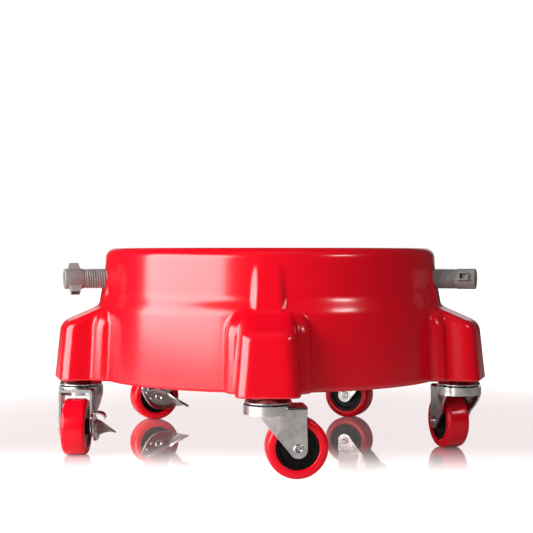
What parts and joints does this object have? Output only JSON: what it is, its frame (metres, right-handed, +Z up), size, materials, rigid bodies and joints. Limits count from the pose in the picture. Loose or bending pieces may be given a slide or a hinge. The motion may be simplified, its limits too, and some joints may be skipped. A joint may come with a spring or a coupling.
{
  "type": "bucket dolly",
  "caption": "Round swivel-caster dolly that a wash bucket stands in, with a moulded ring body, side brakes and clamp screws.",
  "frame": {"origin": "centre of the well's floor, where the bucket's base rests", "axes": "+Z up out of the well, -Y towards the front caster"},
  "size_m": [0.4048, 0.3857, 0.1875],
  "materials": {
    "red_plastic": "glossy moulded plastic",
    "zinc_steel": "bright zinc plate on stamped steel",
    "ball_steel": "plain steel",
    "brass": "turned brass",
    "red_tyre": "smooth cast polyurethane",
    "black_plastic": "black moulded plastic",
    "grey_plastic": "satin moulded plastic"
  },
  "bodies": {
    "dolly": {"dolly_body": "red_plastic", "stem_inserts": "brass", "front_caster_stem": "zinc_steel", "front_top_race": "zinc_steel", "front_race_balls": "ball_steel", "right_caster_stem": "zinc_steel", "right_top_race": "zinc_steel", "right_race_balls": "ball_steel", "rear_right_caster_stem": "zinc_steel", "rear_right_top_race": "zinc_steel", "rear_right_race_balls": "ball_steel", "rear_left_caster_stem": "zinc_steel", "rear_left_top_race": "zinc_steel", "rear_left_race_balls": "ball_steel", "left_caster_stem": "zinc_steel", "left_top_race": "zinc_steel", "left_race_balls": "ball_steel"},
    "front_swivel": {"front_fork": "zinc_steel", "front_axle": "zinc_steel", "front_axle_bushing": "ball_steel"},
    "front_wheel": {"front_wheel_hub": "black_plastic", "front_tyre": "red_tyre"},
    "right_swivel": {"right_fork": "zinc_steel", "right_axle": "zinc_steel", "right_axle_bushing": "ball_steel"},
    "right_wheel": {"right_wheel_hub": "black_plastic", "right_tyre": "red_tyre"},
    "rear_right_swivel": {"rear_right_fork": "zinc_steel", "rear_right_axle": "zinc_steel", "rear_right_axle_bushing": "ball_steel"},
    "rear_right_wheel": {"rear_right_wheel_hub": "black_plastic", "rear_right_tyre": "red_tyre"},
    "rear_left_swivel": {"rear_left_fork": "zinc_steel", "rear_left_axle": "zinc_steel", "rear_left_axle_bushing": "ball_steel"},
    "rear_left_wheel": {"rear_left_wheel_hub": "black_plastic", "rear_left_tyre": "red_tyre"},
    "rear_left_brake": {"rear_left_brake_lever": "zinc_steel"},
    "left_swivel": {"left_fork": "zinc_steel", "left_axle": "zinc_steel", "left_axle_bushing": "ball_steel"},
    "left_wheel": {"left_wheel_hub": "black_plastic", "left_tyre": "red_tyre"},
    "left_brake": {"left_brake_lever": "zinc_steel"},
    "right_pad": {"right_clamp_pad": "grey_plastic"},
    "right_screw": {"right_clamp_screw": "grey_plastic"},
    "left_pad": {"left_clamp_pad": "grey_plastic"},
    "left_screw": {"left_clamp_screw": "grey_plastic"}
  },
  "joints": [
    {"name": "front_swivel_turn", "type": "hinge", "parent": "dolly", "child": "front_swivel", "pos_m": [0, -0.184, -0.04], "axis": [0, 0, 1], "continuous": true},
    {"name": "front_wheel_spin", "type": "hinge", "parent": "front_swivel", "child": "front_wheel", "pos_m": [0.02283, -0.1812, -0.0746], "axis": [-0.1219, 0.9925, 0], "continuous": true},
    {"name": "right_swivel_turn", "type": "hinge", "parent": "dolly", "child": "right_swivel", "pos_m": [0.17499, -0.05686, -0.04], "axis": [0, 0, 1], "continuous": true},
    {"name": "right_wheel_spin", "type": "hinge", "parent": "right_swivel", "child": "right_wheel", "pos_m": [0.16865, -0.03475, -0.0746], "axis": [-0.9613, -0.2756, 0], "continuous": true},
    {"name": "rear_right_swivel_turn", "type": "hinge", "parent": "dolly", "child": "rear_right_swivel", "pos_m": [0.10815, 0.14886, -0.04], "axis": [0, 0, 1], "continuous": true},
    {"name": "rear_right_wheel_spin", "type": "hinge", "parent": "rear_right_swivel", "child": "rear_right_wheel", "pos_m": [0.08714, 0.15821, -0.0746], "axis": [-0.4067, -0.9135, 0], "continuous": true},
    {"name": "rear_left_swivel_turn", "type": "hinge", "parent": "dolly", "child": "rear_left_swivel", "pos_m": [-0.10815, 0.14886, -0.04], "axis": [0, 0, 1], "continuous": true},
    {"name": "rear_left_wheel_spin", "type": "hinge", "parent": "rear_left_swivel", "child": "rear_left_wheel", "pos_m": [-0.12916, 0.1395, -0.0746], "axis": [0.4067, -0.9135, 0], "continuous": true},
    {"name": "rear_left_brake_rock", "type": "hinge", "parent": "rear_left_swivel", "child": "rear_left_brake", "pos_m": [-0.12916, 0.1395, -0.0746], "axis": [0.4067, -0.9135, 0], "range_deg": [0, 24]},
    {"name": "left_swivel_turn", "type": "hinge", "parent": "dolly", "child": "left_swivel", "pos_m": [-0.17499, -0.05686, -0.04], "axis": [0, 0, 1], "continuous": true},
    {"name": "left_wheel_spin", "type": "hinge", "parent": "left_swivel", "child": "left_wheel", "pos_m": [-0.17499, -0.07986, -0.0746], "axis": [1, 0, 0], "continuous": true},
    {"name": "left_brake_rock", "type": "hinge", "parent": "left_swivel", "child": "left_brake", "pos_m": [-0.17499, -0.07986, -0.0746], "axis": [1, 0, 0], "range_deg": [0, 24]},
    {"name": "right_clamp_travel", "type": "slide", "parent": "dolly", "child": "right_pad", "axis": [-0.9511, 0.309, 0], "range_m": [0, 0.018]},
    {"name": "right_clamp_turn", "type": "hinge", "parent": "right_pad", "child": "right_screw", "pos_m": [0.17119, -0.05562, 0.059], "axis": [-0.9511, 0.309, 0], "range_deg": [0, 2945.5]},
    {"name": "left_clamp_travel", "type": "slide", "parent": "dolly", "child": "left_pad", "axis": [0.9511, 0.309, 0], "range_m": [0, 0.018]},
    {"name": "left_clamp_turn", "type": "hinge", "parent": "left_pad", "child": "left_screw", "pos_m": [-0.17119, -0.05562, 0.059], "axis": [0.9511, 0.309, 0], "range_deg": [0, 2945.5]}
  ],
  "couplings": [
    {"joint": "right_clamp_turn", "follows": "right_clamp_travel", "rad_per_m": 2856},
    {"joint": "left_clamp_turn", "follows": "left_clamp_travel", "rad_per_m": 2856}
  ]
}
